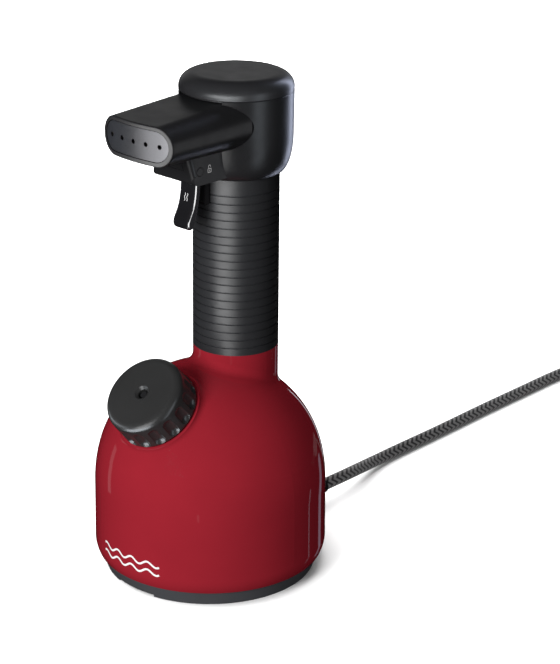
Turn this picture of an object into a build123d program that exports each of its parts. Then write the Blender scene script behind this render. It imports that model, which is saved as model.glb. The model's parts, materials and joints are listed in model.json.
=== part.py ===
from build123d import *
import os
from math import asin, cos, degrees, pi, radians, sin, tan

# Handheld garment steamer, millimetres, +Z up. The origin is the centre of the face it stands on,
# on the axis of the round body. The nozzle and the filler cap face -Y; the neck stands towards +Y.

# ---- body ----
BASE_H = 8.8                 # height of the dark base under the red shell
BASE_R = 58.95               # edge that stands on the table
BASE_TOP_R = 62.0
BASE_WALL = 3.0
BASE_REST_R = 50.0           # inner edge of the annular rest face
BASE_FLOOR = (2.0, 5.0)      # z of the floor's two faces
BASE_NOTCH = (14.0, 1.5)     # half angle in degrees and height of the relief under the front
SPIGOT_R = 61.1
SPIGOT_TOP = 14.0
BASE_BOSS_R, BASE_BOSS_H = 3.6, 8.0
SHELL_T = 3.2
EDGE_R = 63.2                # shell at its lower edge
WALL_R = 65.0                # shell at its widest, EDGE_Z above the table
EDGE_Z = 16.0
EDGE_ROUND = ((EDGE_Z - BASE_H) ** 2 + (WALL_R - EDGE_R) ** 2) / (2 * (WALL_R - EDGE_R))
WALL_TOP_R = 64.7
SHOULDER_Z = 49.3
SHOULDER_R = 81.7
SHOULDER_TURN = 15.0         # degrees of shoulder arc before the spherical crown
CROWN_R = SHOULDER_R + (WALL_TOP_R - SHOULDER_R) / cos(radians(SHOULDER_TURN))
CROWN_Z = SHOULDER_Z - (WALL_TOP_R - SHOULDER_R) * tan(radians(SHOULDER_TURN))
SHELL_IN_Z = 85.0            # where the neck and its bore start, inside the dome

# ---- neck, grip and head, all on one vertical axis ----
NECK_Y = 19.83
GRIP_R = 23.77
GRIP_TOP_R = 23.6
NECK_BORE_R = 21.3
NECK_FILLET = 5.0
GRIP_Z = (125.8, 225.3)
GROOVES = 20
GROOVE_FIRST_Z = 130.2
GROOVE_PITCH = 4.545
GROOVE_W = 0.9
GROOVE_D = 0.6
BARREL_R = 31.1
BARREL_LOW_R = 30.9
BARREL_LOW_Z = 246.0
BARREL_WALL = 2.4
SEAM_Z = 270.0
CAP_EDGE_Z = 271.6
TOP_Z = 279.3
TOP_FLAT_R = 22.0
BARREL_TUCK = BARREL_LOW_R - 23.9
SEAM_BEVEL = 0.35            # bevel on each side of the seam under the cap
CAP_SKIRT = (26.4, 28.5)     # inner and outer radius of the rim that plugs into the barrel
SLOT_Z = 267.2               # gap under the cap, above the nozzle
SLOT_HALF_W = 15.7
BARREL_FLOOR_Z = 228.4
TUBE_R = 18.4                # bore of the tube inside the grip
TUBE_Z, TUBE_H = 108.0, 118.0

# ---- nozzle ----
NOSE_Y = -55.6
NOSE_PLAN_R = 90.0           # the nozzle's face is this convex, seen from above
NOSE_W, NOSE_H, NOSE_ZC = 51.4, 21.3, 254.95
ROOT_Y = -3.0
ROOT_W, ROOT_H, ROOT_ZC = 54.0, 25.0, 256.0
NOZZLE_END_Y = 4.0
PLATE_W, PLATE_H, PLATE_ZC = 45.8, 16.0, 255.1
PLATE_GAP = 0.35
PLATE_BACK_Y = -50.2
STEAM_HOLES_X = (-17.6, -8.8, 0.0, 8.8, 17.6)
STEAM_HOLE_R = 1.25
NOZZLE_WALL = 2.4
NOSE_ROUND = 0.9
GASKET_T = 0.8

# ---- filler cap on a slanted axis ----
CAP_TILT = 41.46             # degrees from vertical, leaning towards -Y
CAP_TOP = (0, -51.8, 115.7)  # centre of the knob's flat face
KNOB_TOP_R = 23.0
KNOB_RIM_R = 23.5
KNOB_H = 18.8
KNOB_ROUND = 4.0
KNOB_RIM_ROUND = 1.4
KNOB_HOLLOW_R = (20.6, 19.8)
KNOB_ROOF = 8.5              # depth of the hollow's end below the knob's face
VENT_HOLE_R = 2.8
VENT_MOUTH = 1.4             # countersink at the vent hole
FLUTES = 16
FLUTE_R = 4.2
FLUTE_DEEP = 1.8
FLUTE_ENDS = (8.2, 14.7)     # depths of the centres of each flute's round ends
PLUG_R = 12.6
PLUG_BORE_R = 6.0
PLUG_END = 23.0
FILLER_BORE_R = 13.2
FILLER_R = 16.0
FILLER_RIM = 11.5
FILLER_FLANGE = (19.5, 25.0, 27.0)  # radius and depths of the collar that sits under the shell
FILLER_END = 33.4
BOSS_R = 24.6
BOSS_TOP = 19.4
BORE_DEPTH = 45.0            # where the boss and its bore start, inside the dome
BOSS_FILLET = 3.5

# ---- trigger ----
BLOCK_HALF_W = 15.5
BLOCK_Z = 228.0
BLOCK_FRONT = (-31.2, -26.8)  # y of the slanted front at its top and bottom
BLOCK_FOOT = (-24.0, 230.4)  # y and z where the front rounds into the underside
PANEL_X, PANEL_H, PANEL_LINE = (-4.4, 9.5), 8.5, 0.4
PIVOT = (-14.8, 236.5)       # y, z of the trigger's hinge pin
PIN_R = 1.5
STEM_Z = 231.5
STEM_R = 1.5
LOCK_Y, LOCK_Z, LOCK_R = -22.9, 235.5, 2.4
LOCK_GAP = 0.12
TRIGGER_HALF_W = 6.0
TRIGGER_ROUND = 1.2
TRIGGER_EYE_R = 3.6
PIN_HALF_LENGTH = 13.0

# ---- inside ----
SCREW_CIRCLE_R = 44.0
BOILER_R = 50.0
BOILER_T = 1.6
BOILER_RIM_R = 57.0
BOILER_SCREW_R = 53.5
BOILER_HOLE_R = 1.6
BOILER_GASKET_T = 1.2
PAN_Z, PAN_RIM_Z, DOME_Z = 17.0, 54.0, 57.2
RISER_Z, RISER_R = 96.0, 4.0
HEATER_R, HEATER_Z, HEATER_TUBE_R = 33.0, 13.4, 3.3
VALVE_Y = 13.0
VALVE_Z = (228.6, 237.0)
WIRE_R = 0.35                # of both springs

# ---- cord ----
GLAND_WAIST_R = 6.0
GLAND_HEAD_R = 7.5           # collar inside the shell
GLAND_Y = (58.6, 70.0)       # collar's outer face, and past the shell's outside
CORD_R = 3.65
CORD_Z = 12.0                # height of the outlet above the table
GLAND_END_Y = 95.0
CORD_ROUTE = [
    (0.0, 95.0, 12.0), (0.0, 112.0, 12.0), (-5.6, 134.0, 8.4), (-11.2, 156.0, 4.7), (-13.2, 178.0, 3.75),
    (-13.7, 221.0, 3.7), (-15.6, 268.0, 3.7), (-16.3, 314.0, 3.7), (-17.3, 354.0, 3.7), (-17.0, 386.0, 3.7)]
COIL_CENTRE = (29.65, 398.0)
COIL_COLUMNS = (39.35, 46.65)
COIL_LAYERS = 3
TAIL_ROUTE = [
    (74.7, 410.1, 18.25), (78.5, 394.0, 18.0), (82.0, 379.0, 15.4), (86.6, 365.0, 12.75),
    (91.8, 350.0, 12.75)]


# ---- plug: distance along it, width and height of each section ----
PLUG_SECTIONS = ((0, 9.0, 9.0), (20, 14.0, 12.0), (32, 35.0, 25.5), (50, 35.0, 25.5))
PLUG_CORNER = 0.42           # corner radius as a share of the height
PLUG_PIN_R, PLUG_PIN_LENGTH, PLUG_PIN_GAP = 2.4, 19.0, 19.0

neck_axis = Axis((0, NECK_Y, 0), (0, 0, 1))
neck_section = Plane((0, NECK_Y, 0), x_dir=(1, 0, 0), z_dir=(0, -1, 0))
cap_out = (0, -sin(radians(CAP_TILT)), cos(radians(CAP_TILT)))
cap_axis = Axis(CAP_TOP, cap_out)
cap_section = Plane(CAP_TOP, x_dir=(1, 0, 0), z_dir=(0, -cap_out[2], cap_out[1]))


def neck_plane(z):
    """Horizontal plane at height z, centred on the neck."""
    return Plane((0, NECK_Y, z))


def cap_plane(depth):
    """Plane across the filler's axis, depth below the knob's face, facing outwards."""
    return Plane(CAP_TOP, x_dir=(1, 0, 0), z_dir=cap_out).offset(-depth)


def cross_plane(y, z):
    """Upright plane facing -Y, with its origin at (0, y, z)."""
    return Plane((0, y, z), x_dir=(1, 0, 0), z_dir=(0, -1, 0))


def side_plane(y, z):
    """Plane facing +X, with its origin at (0, y, z)."""
    return Plane((0, y, z), z_dir=(1, 0, 0))


def dome_arcs(inset):
    """Shoulder and crown of the body's outline, inset from its outer surface."""
    shoulder_x = WALL_TOP_R - SHOULDER_R
    CenterArc((shoulder_x, SHOULDER_Z), SHOULDER_R - inset, 0, SHOULDER_TURN)
    CenterArc((0, CROWN_Z), CROWN_R - inset, SHOULDER_TURN, 90 - SHOULDER_TURN)


def ring(plane, outer, inner, height, mode=Mode.ADD):
    """Plain ring or disc, standing on a plane."""
    with BuildSketch(plane) as section:
        Circle(outer)
        if inner:
            Circle(inner, mode=Mode.SUBTRACT)
    extrude(section.sketch, amount=height, mode=mode)


def nozzle_z(y, side):
    """Height of the nozzle's bottom (side -1) or top (side 1) at y."""
    part = (y - NOSE_Y) / (ROOT_Y - NOSE_Y)
    centre = NOSE_ZC + (ROOT_ZC - NOSE_ZC) * part
    height = NOSE_H + (ROOT_H - NOSE_H) * part
    return centre + side * height / 2


def nozzle_loft(front_y, back_y, inset, mode=Mode.ADD):
    """Tapered obround between two values of y, inset from the nozzle's outer surface."""
    sections = []
    for y in (front_y, back_y):
        part = (y - NOSE_Y) / (ROOT_Y - NOSE_Y)
        width = NOSE_W + (ROOT_W - NOSE_W) * part
        height = NOSE_H + (ROOT_H - NOSE_H) * part
        with BuildSketch(cross_plane(y, NOSE_ZC + (ROOT_ZC - NOSE_ZC) * part)) as section:
            SlotOverall(width - 2 * inset, height - 2 * inset)
        sections.append(section.sketch)
    loft(sections, mode=mode)


def nose_cylinder(radius):
    """Keeps only what lies behind the nozzle's convex face."""
    with BuildSketch(Plane.XY.offset(235)) as plan:
        with Locations((0, NOSE_Y + NOSE_PLAN_R)):
            Circle(radius)
    extrude(plan.sketch, amount=40, mode=Mode.INTERSECT)


def coil_spring(start, direction, radius, pitch, turns):
    """Helical compression spring that grows from start along direction."""
    with BuildLine() as helix:
        Helix(pitch, pitch * turns, radius, center=start, direction=direction)
    path = helix.wires()[0]
    with BuildSketch(Plane(path @ 0, z_dir=path % 0)) as section:
        Circle(WIRE_R)
    sweep(section.sketch, path=path, is_frenet=True)


def corner_radii(route):
    """Largest arc that each corner's two runs allow."""
    points = [Vector(*p) for p in route]
    radii = []
    for before, corner, after in zip(points, points[1:], points[2:]):
        run_in = corner - before
        run_out = after - corner
        turn = radians(run_in.get_angle(run_out))
        radii.append(0.45 * min(run_in.length, run_out.length) / tan(turn / 2))
    return radii


def cord_tube(route):
    """Tube of the cord's own diameter along straight runs joined by tangent arcs."""
    radii = corner_radii(route)
    print("cord arc radii:", [round(r) for r in radii])
    with BuildLine() as path:
        FilletPolyline(*route, radius=radii)
    first = Vector(*route[1]) - Vector(*route[0])
    with BuildSketch(Plane(route[0], z_dir=first)) as section:
        Circle(CORD_R)
    sweep(section.sketch, path=path.wires()[0])
    return path.wires()[0].length


# ======================= body =======================
with BuildPart() as body_shell:
    edge_turn = degrees(asin((EDGE_Z - BASE_H) / EDGE_ROUND))
    with BuildSketch(Plane.XZ):
        with BuildLine():
            Line((0, BASE_H), (EDGE_R, BASE_H))
            CenterArc((WALL_R - EDGE_ROUND, EDGE_Z), EDGE_ROUND, -edge_turn, edge_turn)
            Line((WALL_R, EDGE_Z), (WALL_TOP_R, SHOULDER_Z))
            dome_arcs(0)
            Line((0, CROWN_Z + CROWN_R), (0, BASE_H))
        make_face()
    revolve(axis=Axis.Z)
    ring(neck_plane(SHELL_IN_Z), GRIP_R, 0, GRIP_Z[0] - SHELL_IN_Z)
    root = [e for e in edges(Select.LAST) if e.geom_type not in (GeomType.LINE, GeomType.CIRCLE)]
    fillet(root, NECK_FILLET)
    ring(cap_plane(BORE_DEPTH), BOSS_R, 0, BORE_DEPTH - BOSS_TOP)
    root = [e for e in edges(Select.LAST) if e.geom_type not in (GeomType.LINE, GeomType.CIRCLE)]
    fillet(root, BOSS_FILLET)
    with BuildSketch(Plane.XZ):
        with BuildLine():
            Line((0, BASE_H), (WALL_TOP_R - SHELL_T, BASE_H))
            Line((WALL_TOP_R - SHELL_T, BASE_H), (WALL_TOP_R - SHELL_T, SHOULDER_Z))
            dome_arcs(SHELL_T)
            Line((0, CROWN_Z + CROWN_R - SHELL_T), (0, BASE_H))
        make_face()
    revolve(axis=Axis.Z, mode=Mode.SUBTRACT)
    ring(neck_plane(SHELL_IN_Z), NECK_BORE_R, 0, GRIP_Z[1] - SHELL_IN_Z, Mode.SUBTRACT)
    ring(cap_plane(BORE_DEPTH), FILLER_R + 0.2, 0, BORE_DEPTH, Mode.SUBTRACT)
    ring(cross_plane(GLAND_Y[1], CORD_Z), GLAND_WAIST_R + 0.1, 0, 20, Mode.SUBTRACT)

with BuildPart() as base_cover:
    with BuildSketch(Plane.XZ):
        Polygon((0, BASE_FLOOR[0]), (BASE_REST_R, BASE_FLOOR[0]), (BASE_REST_R, 0), (BASE_R, 0),
                (BASE_TOP_R, BASE_H), (SPIGOT_R, BASE_H), (SPIGOT_R, SPIGOT_TOP), (SPIGOT_R - 2, SPIGOT_TOP),
                (BASE_R - BASE_WALL, BASE_FLOOR[1]), (0, BASE_FLOOR[1]), align=None)
    revolve(axis=Axis.Z)
    with BuildSketch(Plane.XY):
        reach = 80
        across = reach * sin(radians(BASE_NOTCH[0]))
        Polygon((0, 0), (-across, -reach), (across, -reach), align=None)
    extrude(amount=BASE_NOTCH[1], mode=Mode.SUBTRACT)
    with BuildSketch(Plane.XY.offset(BASE_FLOOR[1])):
        with PolarLocations(SCREW_CIRCLE_R, 4, start_angle=45):
            Circle(BASE_BOSS_R)
    extrude(amount=BASE_BOSS_H)
    for z, radius, height in ((1, 3.3, 2.9), (3, 1.4, 11)):
        with BuildSketch(Plane.XY.offset(z)):
            with PolarLocations(SCREW_CIRCLE_R, 4, start_angle=45):
                Circle(radius)
        extrude(amount=height, mode=Mode.SUBTRACT)
    ring(cross_plane(GLAND_Y[1], CORD_Z), GLAND_WAIST_R + 0.1, 0, 20, Mode.SUBTRACT)
    ring(cross_plane(GLAND_Y[0] + 0.1, CORD_Z), GLAND_HEAD_R + 0.2, 0, 12, Mode.SUBTRACT)

with BuildPart() as base_screws:
    with BuildSketch(Plane.XY.offset(2.1)):
        with PolarLocations(SCREW_CIRCLE_R, 4, start_angle=45):
            Circle(3.0)
    extrude(amount=1.7)
    with BuildSketch(Plane.XY.offset(3.8)):
        with PolarLocations(SCREW_CIRCLE_R, 4, start_angle=45):
            Circle(1.35)
    extrude(amount=8)

# ======================= boiler =======================
with BuildPart() as boiler_pan:
    with BuildSketch(Plane.XZ):
        Polygon((0, PAN_Z), (BOILER_R, PAN_Z), (BOILER_R, PAN_RIM_Z), (BOILER_RIM_R, PAN_RIM_Z),
                (BOILER_RIM_R, DOME_Z - BOILER_GASKET_T), (BOILER_R - BOILER_T, DOME_Z - BOILER_GASKET_T),
                (BOILER_R - BOILER_T, PAN_Z + BOILER_T), (0, PAN_Z + BOILER_T), align=None)
    revolve(axis=Axis.Z)
    with BuildSketch(Plane.XY.offset(PAN_RIM_Z)):
        with PolarLocations(BOILER_SCREW_R, 6):
            Circle(BOILER_HOLE_R)
    extrude(amount=3, mode=Mode.SUBTRACT)

with BuildPart() as boiler_gasket:
    with BuildSketch(Plane.XY.offset(DOME_Z - BOILER_GASKET_T)):
        Circle(BOILER_RIM_R - 0.5)
        Circle(BOILER_R - BOILER_T, mode=Mode.SUBTRACT)
        with PolarLocations(BOILER_SCREW_R, 6):
            Circle(BOILER_HOLE_R, mode=Mode.SUBTRACT)
    extrude(amount=BOILER_GASKET_T)

with BuildPart() as boiler_dome:
    with BuildSketch(Plane.XZ):
        with BuildLine():
            Line((0, DOME_Z + BOILER_R), (0, DOME_Z + BOILER_R - BOILER_T))
            CenterArc((0, DOME_Z), BOILER_R - BOILER_T, 0, 90)
            Line((BOILER_R - BOILER_T, DOME_Z), (BOILER_R, DOME_Z))
            CenterArc((0, DOME_Z), BOILER_R, 0, 90)
        make_face()
    revolve(axis=Axis.Z)
    ring(Plane.XY.offset(DOME_Z), BOILER_RIM_R, BOILER_R - 0.1, 1.8)
    ring(cap_plane(BORE_DEPTH), FILLER_R + 0.1, 0, 30, Mode.SUBTRACT)
    ring(neck_plane(SHELL_IN_Z), RISER_R + 0.05, 0, 30, Mode.SUBTRACT)
    with BuildSketch(Plane.XY.offset(DOME_Z)):
        with PolarLocations(BOILER_SCREW_R, 6):
            Circle(BOILER_HOLE_R)
    extrude(amount=3, mode=Mode.SUBTRACT)

with BuildPart() as boiler_screws:
    for z, radius, height in ((DOME_Z + 1.8, 2.8, 1.8), (PAN_RIM_Z - 2, 1.5, 7)):
        with BuildSketch(Plane.XY.offset(z)):
            with PolarLocations(BOILER_SCREW_R, 6):
                Circle(radius)
        extrude(amount=height)

with BuildPart() as heating_element:
    with BuildLine() as heater_path:
        CenterArc((0, 0, HEATER_Z), HEATER_R, 20, 320)
    with BuildSketch(Plane(heater_path.wires()[0] @ 0, z_dir=heater_path.wires()[0] % 0)):
        Circle(HEATER_TUBE_R)
    sweep(path=heater_path.wires()[0])

with BuildPart() as thermostat:
    ring(Plane.XY.offset(10), 8, 0, 7)
    with BuildSketch(Plane.XY.offset(7.5)):
        with GridLocations(9, 0, 2, 1):
            Rectangle(1, 5)
    extrude(amount=2.5)

with BuildPart() as thermal_fuse:
    with BuildSketch(Plane((16, -12, 14.6), x_dir=(1, 0, 0), z_dir=(0, 1, 0))):
        Circle(2.2)
    extrude(amount=18)

with BuildPart() as terminal_block:
    with BuildSketch(Plane((0, 46, 5))):
        Rectangle(20, 9)
    extrude(amount=9)
    with BuildSketch(Plane((0, 46, 14))):
        with GridLocations(6.5, 0, 3, 1):
            Circle(1.6)
    extrude(amount=-5, mode=Mode.SUBTRACT)

with BuildPart() as steam_riser:
    ring(neck_plane(RISER_Z), RISER_R, RISER_R - 1, VALVE_Z[0] - RISER_Z)

# ======================= filler =======================
with BuildPart() as filler_neck:
    with BuildSketch(cap_section):
        flange_r, flange_top, flange_end = FILLER_FLANGE
        Polygon((FILLER_BORE_R, -FILLER_RIM), (FILLER_R, -FILLER_RIM), (FILLER_R, -flange_top),
                (flange_r, -flange_top), (flange_r, -flange_end), (FILLER_R, -flange_end),
                (FILLER_R, -FILLER_END), (FILLER_BORE_R, -FILLER_END), align=None)
    revolve(axis=cap_axis)

with BuildPart() as filler_cap:
    with BuildSketch(cap_section):
        with BuildLine():
            Line((VENT_HOLE_R + VENT_MOUTH, 0), (KNOB_TOP_R - KNOB_ROUND, 0))
            CenterArc((KNOB_TOP_R - KNOB_ROUND, -KNOB_ROUND), KNOB_ROUND, 0, 90)
            Line((KNOB_TOP_R, -KNOB_ROUND), (KNOB_RIM_R, KNOB_RIM_ROUND - KNOB_H))
            CenterArc((KNOB_RIM_R - KNOB_RIM_ROUND, KNOB_RIM_ROUND - KNOB_H), KNOB_RIM_ROUND, -90, 90)
            Polyline((KNOB_RIM_R - KNOB_RIM_ROUND, -KNOB_H), (KNOB_HOLLOW_R[0], -KNOB_H),
                     (KNOB_HOLLOW_R[1], -KNOB_ROOF), (PLUG_R, -KNOB_ROOF), (PLUG_R, -PLUG_END),
                     (PLUG_BORE_R, -PLUG_END), (PLUG_BORE_R, -6), (VENT_HOLE_R, -6),
                     (VENT_HOLE_R, -VENT_MOUTH), (VENT_HOLE_R + VENT_MOUTH, 0))
        make_face()
    revolve(axis=cap_axis)
    with BuildPart(mode=Mode.PRIVATE) as flute:
        flute_out = KNOB_RIM_R + FLUTE_R - FLUTE_DEEP
        with BuildSketch(cap_section):
            with BuildLine():
                Line((flute_out, FLUTE_R - FLUTE_ENDS[0]), (flute_out, -FLUTE_R - FLUTE_ENDS[1]))
                CenterArc((flute_out, -FLUTE_ENDS[1]), FLUTE_R, -90, 90)
                Line((flute_out + FLUTE_R, -FLUTE_ENDS[1]), (flute_out + FLUTE_R, -FLUTE_ENDS[0]))
                CenterArc((flute_out, -FLUTE_ENDS[0]), FLUTE_R, 0, 90)
            make_face()
        revolve(axis=Axis(cap_section.from_local_coords((flute_out, 0, 0)), cap_out))
    for turn in range(FLUTES):
        add(flute.part.rotate(cap_axis, turn * 360 / FLUTES), mode=Mode.SUBTRACT)

with BuildPart() as cap_seal:
    ring(cap_plane(FILLER_RIM), FILLER_R, FILLER_BORE_R, FILLER_RIM - KNOB_ROOF - 0.1)

with BuildPart() as vent_seat:
    with BuildSketch(cap_section):
        Polygon((3.2, -14), (5.7, -14), (5.7, -22), (3.2, -22), align=None)
    revolve(axis=cap_axis)

with BuildPart() as vent_pin:
    with BuildSketch(cap_section):
        Polygon((0, -2.2), (1.9, -2.2), (1.9, -12), (4.6, -12), (4.6, -13.9), (2.6, -13.9), (2.6, -24),
                (0, -24), align=None)
    revolve(axis=cap_axis)

with BuildPart() as vent_spring:
    coil_spring(cap_plane(11.5).origin, cap_out, 3.8, 1.25, 4)

# ======================= handle =======================
with BuildPart() as handle_tube:
    ring(neck_plane(TUBE_Z), NECK_BORE_R - 0.1, TUBE_R, TUBE_H)

with BuildPart() as grip_sleeve:
    with BuildSketch(neck_section):
        Polygon((NECK_BORE_R, GRIP_Z[0]), (GRIP_R, GRIP_Z[0]), (GRIP_TOP_R, GRIP_Z[1]),
                (NECK_BORE_R, GRIP_Z[1]), align=None)
        middle_z = GROOVE_FIRST_Z + GROOVE_PITCH * (GROOVES - 1) / 2
        with Locations((GRIP_R + 1.3 - GROOVE_D, middle_z)):
            with GridLocations(0, GROOVE_PITCH, 1, GROOVES):
                RectangleRounded(2.8, GROOVE_W, 0.4, mode=Mode.SUBTRACT)
    revolve(axis=neck_axis)

with BuildPart() as barrel_form:
    with BuildSketch(neck_section):
        with BuildLine():
            Polyline((BARREL_LOW_R, BARREL_LOW_Z), (BARREL_R, SEAM_Z - SEAM_BEVEL),
                     (BARREL_R - SEAM_BEVEL, SEAM_Z), (0, SEAM_Z), (0, GRIP_Z[1]),
                     (BARREL_LOW_R - BARREL_TUCK, GRIP_Z[1]))
            EllipticalCenterArc((BARREL_LOW_R - BARREL_TUCK, BARREL_LOW_Z), BARREL_TUCK,
                                BARREL_LOW_Z - GRIP_Z[1], start_angle=-90, arc_size=90)
        make_face()
    revolve(axis=neck_axis)

with BuildPart() as head_barrel:
    add(barrel_form.part)
    tuck_x = BARREL_LOW_R - BARREL_TUCK - 2
    with BuildSketch(neck_section):
        with BuildLine():
            Polyline((BARREL_LOW_R - BARREL_WALL, BARREL_LOW_Z), (BARREL_R - BARREL_WALL, SEAM_Z + 1),
                     (0, SEAM_Z + 1), (0, BARREL_FLOOR_Z), (tuck_x, BARREL_FLOOR_Z))
            EllipticalCenterArc((tuck_x, BARREL_LOW_Z), BARREL_LOW_R - BARREL_WALL - tuck_x,
                                BARREL_LOW_Z - BARREL_FLOOR_Z, start_angle=-90, arc_size=90)
        make_face()
    revolve(axis=neck_axis, mode=Mode.SUBTRACT)
    ring(neck_plane(220), NECK_BORE_R, 0, 20, Mode.SUBTRACT)
    nozzle_loft(-30, NECK_Y - 4, -0.05, Mode.SUBTRACT)
    with BuildSketch(Plane((0, -10, SLOT_Z))):
        Rectangle(2 * SLOT_HALF_W, 30)
    extrude(amount=SEAM_Z - SLOT_Z, mode=Mode.SUBTRACT)
    ring(cross_plane(0, STEM_Z), STEM_R + 0.4, 0, 20, Mode.SUBTRACT)
    ring(cross_plane(3, STEM_Z), 3.6, 0, 8.4, Mode.SUBTRACT)

with BuildPart() as head_cap:
    with BuildSketch(neck_section):
        with BuildLine():
            Polyline((TOP_FLAT_R, TOP_Z), (0, TOP_Z), (0, SEAM_Z + 3), (CAP_SKIRT[0], SEAM_Z + 3),
                     (CAP_SKIRT[0], SEAM_Z - 1.2), (CAP_SKIRT[1], SEAM_Z - 1.2), (CAP_SKIRT[1], SEAM_Z),
                     (BARREL_R - SEAM_BEVEL, SEAM_Z), (BARREL_R, SEAM_Z + SEAM_BEVEL), (BARREL_R, CAP_EDGE_Z))
            EllipticalCenterArc((TOP_FLAT_R, CAP_EDGE_Z), BARREL_R - TOP_FLAT_R, TOP_Z - CAP_EDGE_Z)
        make_face()
    revolve(axis=neck_axis)

# ======================= nozzle =======================
with BuildPart() as nozzle_shell:
    nozzle_loft(NOSE_Y - 3, NOZZLE_END_Y, 0)
    nose_cylinder(NOSE_PLAN_R)
    front_face = nozzle_shell.faces().filter_by(GeomType.CYLINDER).sort_by(Axis.Y)[0]
    fillet(front_face.edges(), NOSE_ROUND)
    nozzle_loft(-47.4, NOZZLE_END_Y, NOZZLE_WALL, Mode.SUBTRACT)
    with BuildSketch(cross_plane(-47, PLATE_ZC)):
        SlotOverall(PLATE_W - 3.4, PLATE_H - 3.4)
    extrude(amount=12, mode=Mode.SUBTRACT)
    with BuildSketch(cross_plane(PLATE_BACK_Y + GASKET_T, PLATE_ZC)):
        SlotOverall(PLATE_W + 2 * PLATE_GAP, PLATE_H + 2 * PLATE_GAP)
    extrude(amount=12, mode=Mode.SUBTRACT)
    with BuildSketch(Plane((0, 9, 235))):
        Rectangle(80, 2 * (9 - NOZZLE_END_Y) + 0.02)
    extrude(amount=40, mode=Mode.SUBTRACT)

with BuildPart() as nozzle_plate:
    with BuildSketch(cross_plane(PLATE_BACK_Y, PLATE_ZC)):
        SlotOverall(PLATE_W, PLATE_H)
    extrude(amount=8)
    nose_cylinder(NOSE_PLAN_R - 0.3)
    with BuildSketch(cross_plane(PLATE_BACK_Y, PLATE_ZC + 0.3)):
        with Locations(*[(x, 0) for x in STEAM_HOLES_X]):
            Circle(STEAM_HOLE_R)
    extrude(amount=10, mode=Mode.SUBTRACT)

with BuildPart() as nozzle_gasket:
    with BuildSketch(cross_plane(PLATE_BACK_Y + GASKET_T, PLATE_ZC)):
        SlotOverall(PLATE_W, PLATE_H)
        SlotOverall(PLATE_W - 3.4, PLATE_H - 3.4, mode=Mode.SUBTRACT)
    extrude(amount=GASKET_T)

with BuildPart() as steam_manifold:
    with BuildSketch(cross_plane(-36, PLATE_ZC)):
        SlotOverall(PLATE_W - 1.8, PLATE_H - 1.8)
    extrude(amount=11.3)
    with BuildSketch(cross_plane(-38, PLATE_ZC)):
        SlotOverall(PLATE_W - 5, PLATE_H - 5)
    extrude(amount=12, mode=Mode.SUBTRACT)
    ring(cross_plane(-28, PLATE_ZC), 5, 0, 8)
    ring(cross_plane(-28, PLATE_ZC), 3.6, 0, 12, Mode.SUBTRACT)

# ======================= steam valve =======================
with BuildPart() as valve_body:
    with BuildSketch(Plane((0, VALVE_Y, VALVE_Z[0]))):
        Rectangle(13, 22)
    extrude(amount=VALVE_Z[1] - VALVE_Z[0])
    fillet(valve_body.edges().filter_by(Axis.Z), 2)
    ring(cross_plane(12.5, STEM_Z), STEM_R + 0.1, 0, 12, Mode.SUBTRACT)
    ring(neck_plane(VALVE_Z[0]), 3, 0, 4, Mode.SUBTRACT)

with BuildPart() as valve_stem:
    ring(cross_plane(10, STEM_Z), STEM_R, 0, 22.5)
    chamfer(valve_stem.edges().sort_by(Axis.Y)[0], 0.5)
    ring(cross_plane(-3.6, STEM_Z), 3.2, STEM_R, 1.4)

with BuildPart() as valve_spring:
    coil_spring((0, -3.1, STEM_Z), (0, 1, 0), 2.4, 1.15, 4)

with BuildPart() as outlet_pipe:
    with BuildLine() as outlet_path:
        FilletPolyline((0, 12, VALVE_Z[1]), (0, 12, PLATE_ZC), (0, -32, PLATE_ZC), radius=7)
    with BuildSketch(Plane((0, 12, VALVE_Z[1]))):
        Circle(3.5)
        Circle(2.5, mode=Mode.SUBTRACT)
    sweep(path=outlet_path.wires()[0])

# ======================= trigger =======================
with BuildPart() as trigger_housing:
    with BuildSketch(Plane.YZ):
        with BuildLine():
            Polyline((BLOCK_FRONT[0], nozzle_z(BLOCK_FRONT[0], -1)), (BLOCK_FRONT[1], BLOCK_FOOT[1]))
            RadiusArc((BLOCK_FRONT[1], BLOCK_FOOT[1]), (BLOCK_FOOT[0], BLOCK_Z), -3)
            Polyline((BLOCK_FOOT[0], BLOCK_Z), (0, BLOCK_Z), (0, nozzle_z(0, -1)),
                     (BLOCK_FRONT[0], nozzle_z(BLOCK_FRONT[0], -1)))
        make_face()
    extrude(amount=BLOCK_HALF_W, both=True)
    corners = [e for e in trigger_housing.edges() if e.center().Y < -26 and abs(e.center().X) > 15
               and e.length > 8]
    fillet(corners, 3)
    add(barrel_form.part, mode=Mode.SUBTRACT)
    block_top = Vector(0, BLOCK_FRONT[0], nozzle_z(BLOCK_FRONT[0], -1))
    block_slope = (Vector(0, BLOCK_FRONT[1], BLOCK_FOOT[1]) - block_top).normalized()
    panel_middle = block_top + block_slope * PANEL_H / 2
    with BuildSketch(Plane(panel_middle, x_dir=(1, 0, 0), z_dir=Vector(1, 0, 0).cross(-block_slope))):
        panel_w = PANEL_X[1] - PANEL_X[0]
        with Locations((sum(PANEL_X) / 2, 0)):
            Rectangle(panel_w, PANEL_H)
            Rectangle(panel_w - 2 * PANEL_LINE, PANEL_H - 2 * PANEL_LINE, mode=Mode.SUBTRACT)
    extrude(amount=-PANEL_LINE, mode=Mode.SUBTRACT)
    with BuildSketch(Plane((0, -12.3, BLOCK_Z - 1))):
        Rectangle(14.4, 15.2)
    extrude(amount=14.4, mode=Mode.SUBTRACT)
    with BuildSketch(side_plane(*PIVOT)):
        Circle(PIN_R)
    extrude(amount=PIN_HALF_LENGTH, both=True, mode=Mode.SUBTRACT)
    with BuildSketch(side_plane(LOCK_Y, LOCK_Z)):
        Circle(LOCK_R + LOCK_GAP)
    extrude(amount=20, both=True, mode=Mode.SUBTRACT)

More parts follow.
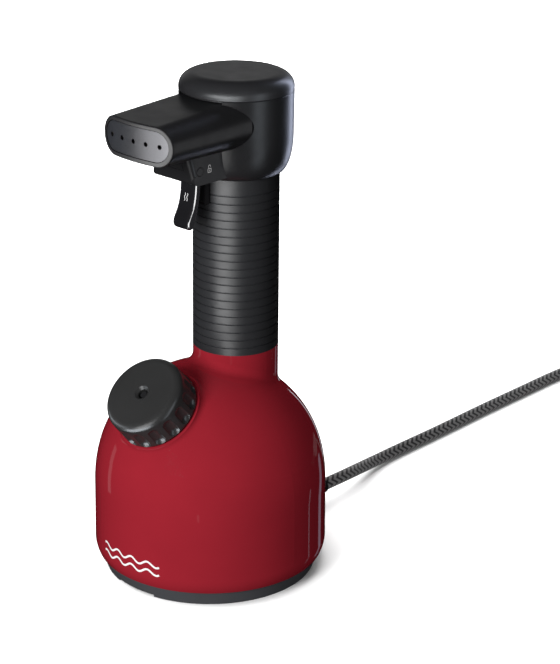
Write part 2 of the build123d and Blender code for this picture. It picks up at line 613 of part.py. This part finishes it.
with BuildPart() as trigger_stop:
    with BuildSketch(Plane.YZ):
        Polygon((-8.0, 213), (-7.0, 211.5), (-4.6, 211.5), (-4.6, GRIP_Z[1]), (-8.0, BLOCK_Z), align=None)
    extrude(amount=4, both=True)
    add(barrel_form.part, mode=Mode.SUBTRACT)

with BuildPart() as trigger_pin:
    with BuildSketch(side_plane(*PIVOT)):
        Circle(PIN_R)
    extrude(amount=PIN_HALF_LENGTH, both=True)

with BuildPart() as trigger:
    with BuildSketch(Plane.YZ):
        with BuildLine():
            Line((-12.7, 236.5), (-12.6, 224.6))
            Spline((-12.6, 224.6), (-13.2, 217.5), (-14.7, 210.5), (-16.2, 205.0), (-17.6, 201.7),
                   (-20.0, 200.3), (-22.1, 201.7), (-22.5, 204.6), (-20.9, 208.2), (-18.7, 212.8),
                   (-17.5, 217.5), (-16.8, 224.0), (-16.9, 236.5), tangents=((0, -1), (0, 1)))
            Line((-16.9, 236.5), (-12.7, 236.5))
        make_face()
        with Locations(PIVOT):
            Circle(TRIGGER_EYE_R)
    extrude(amount=TRIGGER_HALF_W, both=True)
    outline = trigger.edges().filter_by(
        lambda e: abs(abs(e.center().X) - TRIGGER_HALF_W) < 0.01 and e.center().Z < 234)
    fillet(outline, TRIGGER_ROUND)
    with BuildSketch(side_plane(*PIVOT)):
        Circle(PIN_R + 0.06)
    extrude(amount=PIN_HALF_LENGTH, both=True, mode=Mode.SUBTRACT)

with BuildPart() as lock_button:
    with BuildSketch(side_plane(LOCK_Y, LOCK_Z).offset(-14.2)):
        Circle(LOCK_R)
    extrude(amount=14.2 + BLOCK_HALF_W + 0.3)
    chamfer(lock_button.edges().filter_by(GeomType.CIRCLE), 0.3)

# ======================= cord =======================
with BuildPart() as strain_relief:
    with BuildSketch(Plane((0, 0, CORD_Z), x_dir=(0, 1, 0), z_dir=(1, 0, 0))):
        Polygon((GLAND_Y[0] - 3.2, 0), (GLAND_Y[0] - 3.2, GLAND_HEAD_R), (GLAND_Y[0], GLAND_HEAD_R),
                (GLAND_Y[0], GLAND_WAIST_R), (65.4, GLAND_WAIST_R), (65.4, 7.2), (68.0, 6.8),
                (GLAND_END_Y, 4.5), (GLAND_END_Y, 0), align=None)
    revolve(axis=Axis((0, 0, CORD_Z), (0, 1, 0)))
    with BuildSketch(Plane((0, 0, CORD_Z), x_dir=(0, 1, 0), z_dir=(1, 0, 0))):
        with Locations((80, 6.2)):
            with GridLocations(4, 0, 5, 1):
                Rectangle(1.2, 2.2)
    revolve(axis=Axis((0, 0, CORD_Z), (0, 1, 0)), mode=Mode.SUBTRACT)

with BuildPart() as cord:
    cord_length = cord_tube(CORD_ROUTE)
print("cord tube volume / section x length:", cord.part.volume / (pi * CORD_R ** 2 * cord_length))

with BuildPart() as cord_tail:
    cord_tube(TAIL_ROUTE)

coil_inner = COIL_COLUMNS[0] - CORD_R
coil_outer = COIL_COLUMNS[1] + CORD_R
coil_w = coil_outer - coil_inner
coil_h = 2 * CORD_R * COIL_LAYERS
with BuildPart() as cord_coil:
    ring(Plane((COIL_CENTRE[0], COIL_CENTRE[1], 0)), coil_outer, coil_inner, coil_h)
    fillet(cord_coil.edges().filter_by(GeomType.CIRCLE), CORD_R * 0.9)
    add(cord.part, mode=Mode.SUBTRACT)
    add(cord_tail.part, mode=Mode.SUBTRACT)

tie_y = COIL_CENTRE[1] + sum(COIL_COLUMNS) / 2
tie_plane = Plane((COIL_CENTRE[0], tie_y, 0), x_dir=(0, 1, 0), z_dir=(1, 0, 0))
with BuildPart() as coil_tie:
    with BuildSketch(tie_plane.offset(-4)):
        with Locations((0, coil_h / 2)):
            RectangleRounded(coil_w + 2.4, coil_h + 2.4, 3.5)
    extrude(amount=8)
    add(cord_coil.part, mode=Mode.SUBTRACT)
    ring(Plane((COIL_CENTRE[0], COIL_CENTRE[1], -5)), 120, 0, 5, Mode.SUBTRACT)

# ======================= plug =======================
tail_start, tail_end = Vector(*TAIL_ROUTE[-2]), Vector(*TAIL_ROUTE[-1])
tail_heading = Vector(tail_end.X - tail_start.X, tail_end.Y - tail_start.Y, 0).normalized()


def plug_plane(distance):
    """Plane across the plug, distance beyond the end of the cord, facing along it."""
    origin = tail_end + tail_heading * distance
    return Plane(origin, x_dir=tail_heading.cross(Vector(0, 0, 1)), z_dir=tail_heading)


with BuildPart() as plug_body:
    for start, end in zip(PLUG_SECTIONS, PLUG_SECTIONS[1:]):
        for distance, width, height in (start, end):
            with BuildSketch(plug_plane(distance)):
                RectangleRounded(width, height, height * PLUG_CORNER)
        loft()

with BuildPart() as plug_pins:
    with BuildSketch(plug_plane(PLUG_SECTIONS[-1][0])):
        with GridLocations(PLUG_PIN_GAP, 0, 2, 1):
            Circle(PLUG_PIN_R)
    extrude(amount=PLUG_PIN_LENGTH)
    fillet(plug_pins.edges().filter_by(GeomType.CIRCLE).sort_by(Axis.Y)[:2], PLUG_PIN_R / 2)

pieces = {
    "body_shell": body_shell, "base_cover": base_cover, "base_screws": base_screws,
    "boiler_pan": boiler_pan, "boiler_gasket": boiler_gasket, "boiler_dome": boiler_dome,
    "boiler_screws": boiler_screws, "heating_element": heating_element, "thermostat": thermostat,
    "thermal_fuse": thermal_fuse, "terminal_block": terminal_block, "steam_riser": steam_riser,
    "filler_neck": filler_neck, "filler_cap": filler_cap, "cap_seal": cap_seal, "vent_seat": vent_seat,
    "vent_pin": vent_pin, "vent_spring": vent_spring, "handle_tube": handle_tube,
    "grip_sleeve": grip_sleeve, "head_barrel": head_barrel, "head_cap": head_cap,
    "nozzle_shell": nozzle_shell, "nozzle_plate": nozzle_plate, "nozzle_gasket": nozzle_gasket,
    "steam_manifold": steam_manifold, "valve_body": valve_body, "valve_stem": valve_stem,
    "valve_spring": valve_spring, "outlet_pipe": outlet_pipe, "trigger_housing": trigger_housing,
    "trigger_stop": trigger_stop, "trigger_pin": trigger_pin, "trigger": trigger,
    "lock_button": lock_button, "strain_relief": strain_relief, "cord": cord, "cord_tail": cord_tail,
    "cord_coil": cord_coil, "coil_tie": coil_tie, "plug_body": plug_body, "plug_pins": plug_pins,
}
os.makedirs("parts", exist_ok=True)
for name, piece in pieces.items():
    piece.part.label = name
    export_step(piece.part, f"parts/{name}.step")
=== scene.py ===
import json
from math import cos, hypot, pi, radians, sin

import bmesh
import bpy
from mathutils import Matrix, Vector
from mathutils.bvhtree import BVHTree


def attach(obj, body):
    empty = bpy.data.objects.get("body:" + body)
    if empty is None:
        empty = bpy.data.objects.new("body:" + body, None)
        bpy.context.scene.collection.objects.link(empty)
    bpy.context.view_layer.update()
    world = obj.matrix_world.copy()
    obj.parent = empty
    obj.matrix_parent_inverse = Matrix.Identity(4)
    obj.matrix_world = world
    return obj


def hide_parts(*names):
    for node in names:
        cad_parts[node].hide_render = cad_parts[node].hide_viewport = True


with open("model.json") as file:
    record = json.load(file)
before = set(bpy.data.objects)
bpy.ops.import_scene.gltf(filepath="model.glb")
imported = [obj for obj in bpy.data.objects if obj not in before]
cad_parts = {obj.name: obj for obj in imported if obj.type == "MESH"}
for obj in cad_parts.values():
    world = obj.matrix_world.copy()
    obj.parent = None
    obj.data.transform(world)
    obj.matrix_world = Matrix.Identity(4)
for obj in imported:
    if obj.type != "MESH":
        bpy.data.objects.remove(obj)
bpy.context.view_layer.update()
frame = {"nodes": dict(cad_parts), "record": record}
nodes = frame["nodes"]
MM = 0.001


# ---------------------------------------------------------------- camera
CAMERA_AT = (0.7673, -0.7636, 0.5530)
CAMERA_TURN = (68.95, -0.63, 43.36)  # degrees
CAMERA_LENS = 114.8


def add_camera():
    camera = bpy.data.cameras.new("camera")
    camera.sensor_width = 36
    camera.lens = CAMERA_LENS
    camera.clip_end = 100
    obj = bpy.data.objects.new("camera", camera)
    obj.location = CAMERA_AT
    obj.rotation_euler = [radians(turn) for turn in CAMERA_TURN]
    bpy.context.scene.collection.objects.link(obj)
    bpy.context.scene.camera = obj


add_camera()

# ---------------------------------------------------------------- cord route
CORD_R = 3.65 * MM
CORD_LEAD = [
    (0.0, 95.0, 12.0), (0.0, 112.0, 12.0), (-5.6, 134.0, 8.4), (-11.2, 156.0, 4.7), (-13.2, 178.0, 3.75),
    (-13.7, 221.0, 3.7), (-15.6, 268.0, 3.7), (-16.3, 314.0, 3.7), (-17.3, 354.0, 3.7)]
CORD_TAIL = [(78.5, 394.0, 18.0), (82.0, 379.0, 15.4), (86.6, 365.0, 12.75), (91.8, 350.0, 12.75)]
COIL_CENTRE = (29.65, 398.0)
COIL_COLUMNS = (39.35, 46.65)
LAYER = 7.3
FIRST_LAYER = 3.7
COIL_TURNS = 5 + 165 / 360
COIL_STEPS = 16  # points to a turn
EASE_FROM = 0.75  # the share of a turn after which it moves over
# (column, layer) of each turn in the order it is wound
WINDING = [(1, 0), (0, 0), (0, 1), (1, 1), (0, 2), (1, 2)]


def coil_points():
    """The turns as points, each turn easing over to the next column or layer near its end."""
    points = []
    for i in range(1, int(COIL_TURNS * COIL_STEPS) + 1):
        turn, part = divmod(i / COIL_STEPS, 1)
        here = WINDING[int(turn)]
        then = WINDING[min(int(turn) + 1, len(WINDING) - 1)]
        ease = max(0.0, (part - EASE_FROM) / (1 - EASE_FROM))
        ease = ease * ease * (3 - 2 * ease)
        radius = COIL_COLUMNS[here[0]] * (1 - ease) + COIL_COLUMNS[then[0]] * ease
        height = FIRST_LAYER + LAYER * (here[1] * (1 - ease) + then[1] * ease)
        angle = pi - 2 * pi * i / COIL_STEPS
        points.append((COIL_CENTRE[0] + radius * cos(angle), COIL_CENTRE[1] + radius * sin(angle), height))
    return points


def spline_points(points):
    """Points along the smooth line that has the route as its control points."""
    curve = bpy.data.curves.new("route", "CURVE")
    curve.dimensions = "3D"
    curve.resolution_u = 12
    spline = curve.splines.new("NURBS")
    spline.points.add(len(points) - 1)
    for point, co in zip(spline.points, points):
        point.co = (co[0] * MM, co[1] * MM, co[2] * MM, 1)
    spline.order_u = 3
    spline.use_endpoint_u = True
    obj = bpy.data.objects.new("route", curve)
    bpy.context.scene.collection.objects.link(obj)
    bpy.context.view_layer.update()
    mesh = bpy.data.meshes.new_from_object(obj.evaluated_get(bpy.context.evaluated_depsgraph_get()))
    line = [v.co.copy() for v in mesh.vertices]
    bpy.data.objects.remove(obj)
    return line


def tube(name, line, radius, sides=28):
    """Mesh tube along a line, with u the distance along it in metres and v once round it."""
    bm = bmesh.new()
    uv = bm.loops.layers.uv.new("UVMap")
    rings, along = [], [0.0]
    side = None
    for i, point in enumerate(line):
        ahead = line[min(i + 1, len(line) - 1)] - line[max(i - 1, 0)]
        ahead.normalize()
        if side is None:
            side = ahead.cross(Vector((0, 0, 1))).normalized()
        side = (side - ahead * side.dot(ahead)).normalized()
        other = ahead.cross(side)
        ring = []
        for k in range(sides):
            angle = 2 * pi * k / sides
            ring.append(bm.verts.new(point + (side * cos(angle) + other * sin(angle)) * radius))
        rings.append(ring)
        if i:
            along.append(along[-1] + (point - line[i - 1]).length)
    for i in range(len(rings) - 1):
        for k in range(sides):
            face = bm.faces.new((rings[i][k], rings[i][(k + 1) % sides], rings[i + 1][(k + 1) % sides],
                                 rings[i + 1][k]))
            face.smooth = True
            us = (along[i], along[i], along[i + 1], along[i + 1])
            vs = (k / sides, (k + 1) / sides, (k + 1) / sides, k / sides)
            for loop, u, v in zip(face.loops, us, vs):
                loop[uv].uv = (u, v)
    bm.faces.new(reversed(rings[0]))
    bm.faces.new(rings[-1])
    bm.normal_update()
    mesh = bpy.data.meshes.new(name)
    bm.to_mesh(mesh)
    bm.free()
    obj = bpy.data.objects.new(name, mesh)
    bpy.context.scene.collection.objects.link(obj)
    return obj, along[-1]


cord_line = spline_points(CORD_LEAD + coil_points() + CORD_TAIL)
cord, cord_length = tube("mains_cord", cord_line, CORD_R)


# ---------------------------------------------------------------- materials
class Nodes:
    """A short way to build one material's node tree."""

    def __init__(self, name, color, roughness, **sockets):
        self.material = bpy.data.materials.new(name)
        self.material.use_nodes = True
        self.tree = self.material.node_tree
        self.shader = self.tree.nodes["Principled BSDF"]
        self.shader.inputs["Base Color"].default_value = (*color, 1)
        self.shader.inputs["Roughness"].default_value = roughness
        for key, value in sockets.items():
            self.shader.inputs[key.replace("_", " ")].default_value = value
        self.coords = self.node("ShaderNodeTexCoord")

    def node(self, kind, **settings):
        made = self.tree.nodes.new(kind)
        for key, value in settings.items():
            if hasattr(made, key):
                setattr(made, key, value)
            else:
                made.inputs[key.replace("_", " ")].default_value = value
        return made

    def link(self, source, target):
        self.tree.links.new(source, target)

    def noise(self, scale, detail=3.0, stretch=None):
        made = self.node("ShaderNodeTexNoise", Scale=scale, Detail=detail)
        coordinates = self.coords.outputs["Object"]
        if stretch:
            mapping = self.node("ShaderNodeMapping")
            mapping.inputs["Scale"].default_value = stretch
            self.link(coordinates, mapping.inputs["Vector"])
            coordinates = mapping.outputs["Vector"]
        self.link(coordinates, made.inputs["Vector"])
        return made.outputs["Fac"]

    def ramp(self, factor, stops):
        made = self.node("ShaderNodeValToRGB")
        ramp = made.color_ramp
        while len(ramp.elements) < len(stops):
            ramp.elements.new(0.5)
        for element, (place, color) in zip(ramp.elements, stops):
            element.position = place
            element.color = (*color, 1)
        self.link(factor, made.inputs["Fac"])
        return made.outputs["Color"]

    def spread(self, factor, low, high):
        made = self.node("ShaderNodeMapRange")
        made.inputs["From Min"].default_value = 0.25
        made.inputs["From Max"].default_value = 0.75
        made.inputs["To Min"].default_value = low
        made.inputs["To Max"].default_value = high
        self.link(factor, made.inputs["Value"])
        return made.outputs["Result"]

    def bump(self, height, strength, distance):
        made = self.node("ShaderNodeBump", Strength=strength, Distance=distance)
        self.link(height, made.inputs["Height"])
        self.link(made.outputs["Normal"], self.shader.inputs["Normal"])

    def base(self, color):
        self.link(color, self.shader.inputs["Base Color"])

    def rough(self, value):
        self.link(value, self.shader.inputs["Roughness"])


def shades(color, amount):
    """A darker and a lighter version of a colour."""
    return tuple(c * (1 - amount) for c in color), tuple(min(1, c * (1 + amount)) for c in color)


def plastic(name, color, roughness, grain, depth, vary=0.06, **sockets):
    """Moulded plastic: faint flow of colour, fine grain, roughness that wanders a little."""
    n = Nodes(name, color, roughness, **sockets)
    dark, light = shades(color, vary)
    n.base(n.ramp(n.noise(40, 4), [(0.3, dark), (0.7, light)]))
    n.rough(n.spread(n.noise(90, 3), roughness * 0.9, roughness * 1.12))
    n.bump(n.noise(grain, 2), 0.35, depth)
    return n.material


def metal(name, color, roughness, stretch, vary=0.12, depth=0.00004):
    """Drawn or brushed metal: fine streaks that change colour, roughness and height."""
    n = Nodes(name, color, roughness, Metallic=1.0)
    dark, light = shades(color, vary)
    streaks = n.noise(400, 3, stretch=stretch)
    n.base(n.ramp(streaks, [(0.3, dark), (0.7, light)]))
    n.rough(n.spread(streaks, roughness * (1 - 1.6 * vary), roughness * (1 + 2 * vary)))
    n.bump(streaks, 0.15, depth)
    return n.material


BRAID_PITCH = 4.6 * MM  # from one dark row to the next, along the cord
BRAID_ROWS = 4.0  # zigzags round the cord
BRAID_SLANT = 1.6


def textile(name):
    """Braided sleeve: black and grey yarns in a zigzag, from the distance along and round the cord."""
    n = Nodes(name, (0.1, 0.1, 0.1), 0.85)
    n.shader.inputs["Sheen Weight"].default_value = 0.3
    split = n.node("ShaderNodeSeparateXYZ")
    n.link(n.coords.outputs["UV"], split.inputs["Vector"])

    def maths(operation, first, second):
        made = n.node("ShaderNodeMath", operation=operation)
        for socket, value in zip(made.inputs, (first, second)):
            if isinstance(value, (int, float)):
                socket.default_value = value
            else:
                n.link(value, socket)
        return made.outputs[0]

    along = maths("MULTIPLY", split.outputs["X"], 1 / BRAID_PITCH)
    around = maths("MULTIPLY", split.outputs["Y"], BRAID_ROWS)
    zigzag = maths("PINGPONG", around, 0.5)
    phase = maths("ADD", along, maths("MULTIPLY", zigzag, BRAID_SLANT))
    stripe = maths("PINGPONG", phase, 0.5)
    yarn = maths("PINGPONG", maths("MULTIPLY", phase, 4.0), 0.5)
    fuzz = n.noise(2500, 3)
    level = maths("ADD", maths("MULTIPLY", stripe, 2.0), maths("MULTIPLY", fuzz, 0.4))
    n.base(n.ramp(level, [(0.55, (0.012, 0.012, 0.014)), (0.8, (0.26, 0.26, 0.265))]))
    n.bump(maths("ADD", maths("MULTIPLY", yarn, 1.4), fuzz), 0.6, 0.0003)
    return n.material


RED = (0.25, 0.0135, 0.0225)
materials = {
    "red_shell": plastic("red_gloss", RED, 0.06, 900, 0.000001, 0.03),
    "dark_base": plastic("base_satin", (0.045, 0.046, 0.05), 0.42, 2500, 0.00002),
    "black_satin": plastic("satin_black", (0.012, 0.012, 0.013), 0.36, 3500, 0.00002),
    "black_gloss": plastic("gloss_black", (0.008, 0.008, 0.009), 0.1, 1200, 0.000004, Coat_Weight=0.8,
                           Coat_Roughness=0.03),
    "knob_black": plastic("knob_plastic", (0.020, 0.020, 0.020), 0.3, 2800, 0.00001),
    "grip_rubber": plastic("grip_rubber", (0.014, 0.0145, 0.016), 0.45, 4200, 0.00002),
    "nozzle_metal": metal("nozzle_plate_metal", (0.36, 0.36, 0.38), 0.34, (1, 8, 8), 0.05, 0.000008),
    "seal_silicone": plastic("silicone", (0.5, 0.13, 0.08), 0.5, 1500, 0.00002),
    "boiler_metal": metal("boiler_sheet", (0.72, 0.72, 0.73), 0.3, (1, 1, 12)),
    "heater_metal": metal("heater_sheath", (0.38, 0.36, 0.33), 0.4, (6, 6, 1)),
    "brass": metal("brass", (0.72, 0.5, 0.2), 0.28, (1, 1, 10)),
    "steel": metal("steel", (0.58, 0.58, 0.6), 0.3, (3, 3, 12)),
    "inner_plastic": plastic("natural_plastic", (0.62, 0.58, 0.5), 0.5, 1500, 0.00003),
    "cord_textile": textile("cord_braid"),
    "cord_rubber": plastic("soft_rubber", (0.014, 0.014, 0.015), 0.55, 2600, 0.00003),
    "pin_metal": metal("nickel_pins", (0.8, 0.77, 0.7), 0.2, (2, 2, 2)),
}
slot_of = {s["node"]: s["material_slot"] for s in frame["record"]["subparts"]}


def paint(obj, slot):
    obj.data.materials.clear()
    obj.data.materials.append(materials[slot])


for name, obj in nodes.items():
    paint(obj, slot_of[name])

paint(cord, "cord_textile")
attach(cord, "steamer")
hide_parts("cord", "cord_tail", "cord_coil")


# ---------------------------------------------------------------- trigger lever
def softened(source, body, voxel, rounds):
    """A copy of a CAD node with rounder edges, which rides the same body and takes the node's place."""
    obj = bpy.data.objects.new(source.name + "_soft", source.data.copy())
    bpy.context.scene.collection.objects.link(obj)
    remesh = obj.modifiers.new("remesh", "REMESH")
    remesh.mode = "VOXEL"
    remesh.voxel_size = voxel
    smooth = obj.modifiers.new("smooth", "SMOOTH")
    smooth.factor = 0.5
    smooth.iterations = rounds
    bpy.context.view_layer.update()
    mesh = bpy.data.meshes.new_from_object(obj.evaluated_get(bpy.context.evaluated_depsgraph_get()))
    obj.modifiers.clear()
    obj.data = mesh
    for face in mesh.polygons:
        face.use_smooth = True
    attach(obj, body)
    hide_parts(source.name)
    return obj


lever_soft = softened(nodes["trigger"], "trigger_lever", 0.35 * MM, 24)
paint(lever_soft, slot_of["trigger"])


# ---------------------------------------------------------------- printed marks
PRINT_T = 0.04 * MM
PRINT_STEPS = 6  # parts to each straight stretch of a line
STAND_OFF = 4  # how far before the plane the lines start, in millimetres
REACH = 20  # how far they may travel to the surface, in millimetres


def strokes(name, lines, width, place, across, up, target, body):
    """Thin printed lines laid on a surface: lines are in millimetres on the plane at place."""
    across, up = Vector(across).normalized(), Vector(up).normalized()
    inward = up.cross(across)
    surface = BVHTree.FromObject(target, bpy.context.evaluated_depsgraph_get())
    bm = bmesh.new()

    def lay(u, v):
        start = (Vector(place) + across * u + up * v - inward * STAND_OFF) * MM
        hit, normal, _, _ = surface.ray_cast(start, inward, REACH * MM)
        return bm.verts.new(hit + normal * PRINT_T)

    for line in lines:
        path = []
        for (u0, v0), (u1, v1) in zip(line, line[1:]):
            shares = [k / PRINT_STEPS for k in range(PRINT_STEPS)]
            path += [(u0 + (u1 - u0) * share, v0 + (v1 - v0) * share) for share in shares]
        path.append(line[-1])
        edge = []
        for i, (u, v) in enumerate(path):
            before, after = path[max(i - 1, 0)], path[min(i + 1, len(path) - 1)]
            du, dv = after[0] - before[0], after[1] - before[1]
            long = hypot(du, dv)
            shift_u, shift_v = -dv / long * width / 2, du / long * width / 2
            edge.append((lay(u + shift_u, v + shift_v), lay(u, v), lay(u - shift_u, v - shift_v)))
        for one, two in zip(edge, edge[1:]):
            for k in range(2):
                bm.faces.new((one[k], one[k + 1], two[k + 1], two[k])).smooth = True
    mesh = bpy.data.meshes.new(name)
    bm.to_mesh(mesh)
    bm.free()
    obj = bpy.data.objects.new(name, mesh)
    bpy.context.scene.collection.objects.link(obj)
    obj.data.materials.append(print_white)
    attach(obj, body)


def arc(centre, radius, start, end, steps=10):
    """Points along an arc, angles in degrees."""
    angles = [radians(start + (end - start) * k / steps) for k in range(steps + 1)]
    return [(centre[0] + radius * cos(a), centre[1] + radius * sin(a)) for a in angles]


def wave(x, low, high, sway):
    """A rising wisp: one and a half gentle bends."""
    steps = 18
    return [(x + sway * sin(3 * pi * k / steps), low + (high - low) * k / steps) for k in range(steps + 1)]


print_white = plastic("white_print", (0.75, 0.75, 0.75), 0.5, 2000, 0.000005)
ACROSS, ALONG, UP = (1, 0, 0), (0, 1, 0), (0, 0, 1)

padlock = [[(-1.15, -1.4), (1.15, -1.4), (1.15, 0.6), (-1.15, 0.6), (-1.15, -1.4)], [(0, -0.8), (0, 0.0)],
           [(-0.7, 0.6)] + arc((0, 1.8), 0.7, 180, 0) + [(0.7, 1.4)]]
strokes("lock_icon", padlock, 0.36, (15.5, -15.9, 235.4), ALONG, UP, nodes["trigger_housing"], "steamer")

wisps = [wave(x, -2.1, 2.1, 0.3) for x in (-0.85, 0.85)]
strokes("steam_icon", wisps, 0.34, (-0.4, -18.2, 217.4), ACROSS, UP, lever_soft, "trigger_lever")

RIPPLE_HALF_W, RIPPLE_PITCH, RIPPLE_SWAY = 21, 11, 1.3
ripple = [[(u, v + RIPPLE_SWAY * sin(u * 2 * pi / RIPPLE_PITCH))
           for u in range(-RIPPLE_HALF_W, RIPPLE_HALF_W + 1)] for v in (2.3, -2.3)]
strokes("wave_mark", ripple, 1.1, (1.0, -65.0, 20.5), ACROSS, UP, nodes["body_shell"], "steamer")


# ---------------------------------------------------------------- floor and light
def group(name, members):
    """A set of objects that a lamp is meant for."""
    made = bpy.data.collections.new(name)
    for obj in members:
        made.objects.link(obj)
    return made


def group_of(name, *names):
    """The same, from the names of CAD nodes."""
    return group(name, [nodes[n] for n in names])


def add_floor():
    """A pale floor that the object's own reflections don't show, wide enough to fill every view."""
    mesh = bpy.data.meshes.new("floor")
    half = 40.0
    corners = [(-half, -half, 0), (half, -half, 0), (half, half, 0), (-half, half, 0)]
    mesh.from_pydata(corners, [], [(0, 1, 2, 3)])
    obj = bpy.data.objects.new("floor", mesh)
    bpy.context.scene.collection.objects.link(obj)
    obj.data.materials.append(Nodes("floor", (0.9, 0.9, 0.9), 0.7, Specular_IOR_Level=0.0).material)
    obj.visible_glossy = False
    obj.visible_diffuse = False
    return obj


CAMERA_AZIMUTH = 45


def add_panel(name, azimuth, distance, low, high, width, radiance, color=(1, 1, 1), lights=None, glossy=True,
              tilt=0.0):
    """Soft box that faces the object's axis; azimuth in degrees, to the right of the camera, tilt down."""
    light = bpy.data.lights.new(name, "AREA")
    light.shape = "RECTANGLE"
    light.size, light.size_y = width, high - low
    light.energy = radiance * pi * width * (high - low)
    light.color = color
    obj = bpy.data.objects.new(name, light)
    turn = radians(azimuth + CAMERA_AZIMUTH)
    obj.location = (distance * sin(turn), -distance * cos(turn), (low + high) / 2)
    obj.rotation_euler = (radians(90 - tilt), 0, turn)
    obj.visible_glossy = glossy
    obj.visible_camera = False
    if lights:
        obj.light_linking.receiver_collection = lights
    bpy.context.scene.collection.objects.link(obj)


def add_sun(lights):
    """Wide soft sun that only brightens the floor."""
    light = bpy.data.lights.new("floor_sun", "SUN")
    light.energy = 5.0
    light.angle = radians(70)
    obj = bpy.data.objects.new("floor_sun", light)
    obj.rotation_euler = (radians(10), radians(-18), 0)
    obj.light_linking.receiver_collection = lights
    bpy.context.scene.collection.objects.link(obj)


def add_world():
    """Even white fill that glossy surfaces don't mirror."""
    world = bpy.data.worlds.new("world")
    world.use_nodes = True
    background = world.node_tree.nodes["Background"]
    background.inputs["Color"].default_value = (1, 1, 1, 1)
    background.inputs["Strength"].default_value = 0.36
    world.cycles_visibility.glossy = False
    bpy.context.scene.world = world


bpy.context.scene.view_settings.view_transform = "Standard"
floor = add_floor()
# each of these lights shapes the reflections of one part of the object, as flags and cards do in a studio
red = group("red_side", [nodes["body_shell"]])
dark = group("dark_side", [obj for name, obj in nodes.items() if name != "body_shell"] + [cord])
head = group_of("head_side", "head_barrel", "head_cap", "nozzle_shell", "nozzle_plate")
side = group_of("side_lit", "head_barrel", "head_cap", "trigger_housing", "filler_cap", "base_cover",
                "lock_button")
knob = group_of("knob_side", "filler_cap")
sleeve = group_of("sleeve_side", "grip_sleeve")
block = group_of("block_side", "trigger_housing", "nozzle_shell", "lock_button")
lid = group_of("lid_side", "head_cap")
face = group_of("face_side", "nozzle_plate")
rim = group_of("rim_side", "nozzle_shell")
lever = group("trigger_side", [lever_soft])
add_world()
add_sun(group("floor_side", [floor]))
add_panel("key", -36, 1.3, 0.35, 0.85, 0.5, 29.5, glossy=False, tilt=18)
add_panel("grip_box", -34, 0.9, -0.6, 0.35, 0.55, 3.0, lights=dark)
add_panel("sleeve_box", -27, 0.9, -0.6, 0.35, 0.75, 4.9, lights=sleeve)
add_panel("lid_box", -24, 0.9, 0.02, 0.4, 1.0, 9.0, (0.93, 0.97, 1.0), lights=lid)
add_panel("face_box", -64, 0.6, -0.1, 0.35, 0.36, 1.0, lights=face)
add_panel("face_fill", -106, 0.6, -0.1, 0.35, 0.3, 0.12, (0.8, 0.87, 1.0), lights=face)
add_panel("under_box", -72, 0.35, -0.3, 0.1, 0.5, 1.6, lights=rim, tilt=-35)
add_panel("back_box", 180, 1.2, 0.15, 0.9, 1.4, 0.34, lights=dark)
add_panel("back_key", 178, 1.3, 0.15, 0.6, 0.7, 16.0, glossy=False, tilt=8)
add_panel("back_soft", 180, 0.9, -0.5, -0.05, 0.2, 0.5, lights=red)
add_panel("side_box", 46, 1.0, -0.6, 0.6, 0.35, 2.2, (0.84, 0.92, 1.0), lights=side)
add_panel("block_box", 86, 0.9, -0.3, 0.4, 0.35, 0.85, (0.95, 0.96, 1.0), lights=block)
add_panel("rim_face", -66, 0.6, -0.15, 0.35, 0.34, 5.0, lights=rim)
add_panel("knob_front", -36, 0.7, -0.1, 0.15, 0.45, 2.6, (0.9, 0.95, 1.0), lights=knob)
add_panel("knob_left", -95, 0.7, -0.1, 0.15, 0.6, 2.6, (0.86, 0.93, 1.0), lights=knob)
add_panel("knob_low", -42, 0.5, -0.5, -0.1, 0.7, 8.0, (0.86, 0.93, 1.0), lights=knob, tilt=-35)
add_panel("lever_strip", 30, 0.5, -0.12, 0.25, 0.55, 14.0, lights=lever)
add_panel("lever_tip", -40, 0.3, -0.2, -0.08, 0.15, 8.0, lights=lever, tilt=-45)
add_panel("lever_glow", -120, 0.5, -0.1, 0.3, 0.1, 1.6, (0.75, 0.72, 1.0), lights=lever)
add_panel("barrel_rim", 136, 0.8, -0.7, 0.9, 0.2, 6.2, (0.72, 0.78, 1.0), lights=head)
add_panel("right_rim", 112, 0.8, -0.5, -0.22, 0.02, 0.7, (0.8, 0.85, 1.0), lights=red)
add_panel("right_far", 137, 0.8, -0.5, -0.15, 0.1, 0.45, (0.75, 0.78, 1.0), lights=red)
add_panel("dome_line", 157, 0.8, -0.24, 0.06, 0.03, 1.6, (0.85, 0.9, 1.0), lights=red)
add_panel("left_rim", -113, 0.8, -0.24, 0.1, 0.08, 0.4, (1.0, 0.92, 0.95), lights=red)
add_panel("front_streak", -11, 0.6, -0.16, -0.1, 0.02, 0.4, lights=red)
